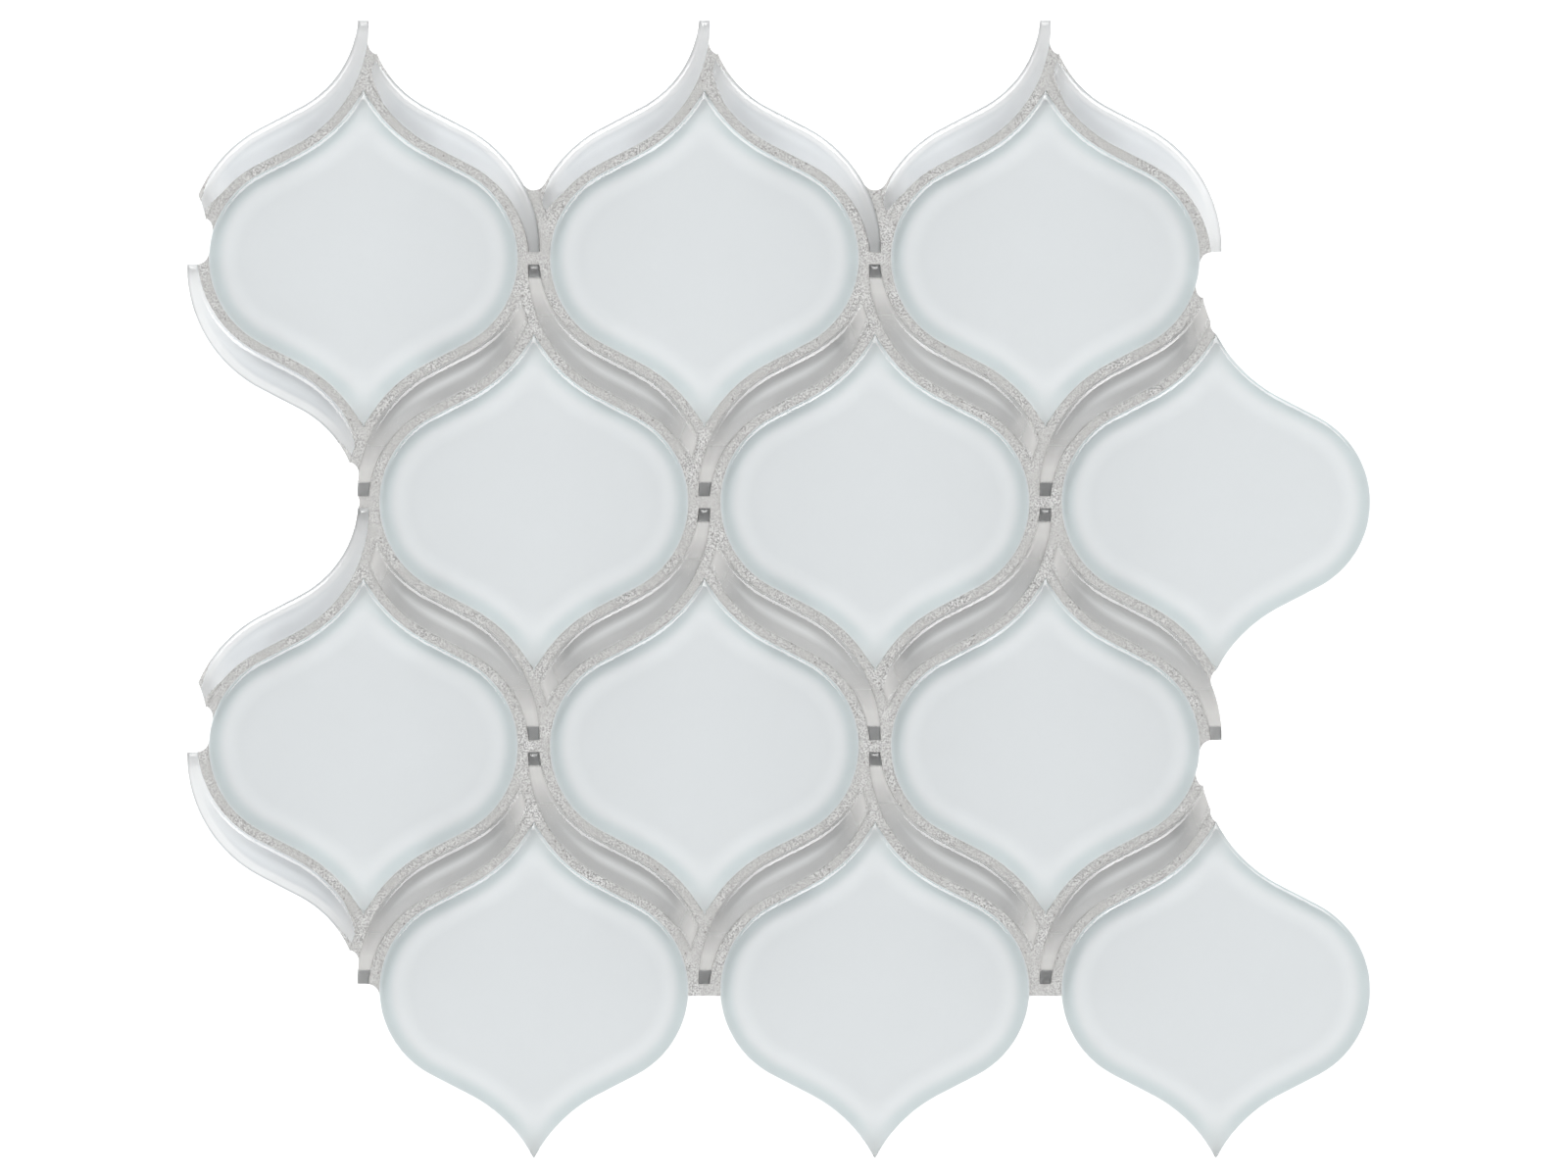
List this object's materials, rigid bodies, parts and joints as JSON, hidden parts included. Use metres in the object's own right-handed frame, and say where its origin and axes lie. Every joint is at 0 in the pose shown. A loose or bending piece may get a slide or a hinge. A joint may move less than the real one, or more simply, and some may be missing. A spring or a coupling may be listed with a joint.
{
  "type": "arabesque glass mosaic tile sheet",
  "caption": "Flat grouted mosaic sheet of lantern-shaped white glass tiles in offset rows, with curved clear glass strips along their flanks, on an open glass-fibre mesh.",
  "frame": {"origin": "middle of the sheet's bounding box in plan, on the underside of the backing mesh", "axes": "+Z out of the glazed face, +X along a row of lanterns, +Y from the last row to the first row"},
  "size_m": [0.2985, 0.287, 0.0085],
  "materials": {
    "white_glass": "gloss",
    "clear_glass": "gloss",
    "grout": "matte",
    "fibre_mesh": "matte"
  },
  "bodies": {
    "root": {"backing_mesh_band_1": "fibre_mesh", "backing_mesh_band_2": "fibre_mesh", "backing_mesh_band_3": "fibre_mesh", "backing_mesh_bottom_1": "fibre_mesh", "backing_mesh_bottom_2": "fibre_mesh", "backing_mesh_bottom_3": "fibre_mesh", "backing_mesh_top_1": "fibre_mesh", "backing_mesh_top_2": "fibre_mesh", "backing_mesh_top_3": "fibre_mesh", "grout": "grout", "lantern_r1_c1": "white_glass", "lantern_r1_c2": "white_glass", "lantern_r1_c3": "white_glass", "lantern_r2_c1": "white_glass", "lantern_r2_c2": "white_glass", "lantern_r2_c3": "white_glass", "lantern_r3_c1": "white_glass", "lantern_r3_c2": "white_glass", "lantern_r3_c3": "white_glass", "lantern_r4_c1": "white_glass", "lantern_r4_c2": "white_glass", "lantern_r4_c3": "white_glass", "strip_above_left_r1_c1": "clear_glass", "strip_above_left_r1_c2": "clear_glass", "strip_above_left_r1_c3": "clear_glass", "strip_above_left_r2_c1": "clear_glass", "strip_above_left_r2_c2": "clear_glass", "strip_above_left_r2_c3": "clear_glass", "strip_above_left_r3_c1": "clear_glass", "strip_above_left_r3_c2": "clear_glass", "strip_above_left_r3_c3": "clear_glass", "strip_above_left_r4_c1": "clear_glass", "strip_above_left_r4_c2": "clear_glass", "strip_above_left_r4_c3": "clear_glass", "strip_above_right_r1_c1": "clear_glass", "strip_above_right_r1_c2": "clear_glass", "strip_above_right_r1_c3": "clear_glass", "strip_above_right_r2_c1": "clear_glass", "strip_above_right_r2_c2": "clear_glass", "strip_above_right_r3_c1": "clear_glass", "strip_above_right_r3_c2": "clear_glass", "strip_above_right_r3_c3": "clear_glass", "strip_above_right_r4_c1": "clear_glass", "strip_above_right_r4_c2": "clear_glass", "strip_below_left_r1_c1": "clear_glass", "strip_below_left_r3_c1": "clear_glass"}
  },
  "joints": []
}
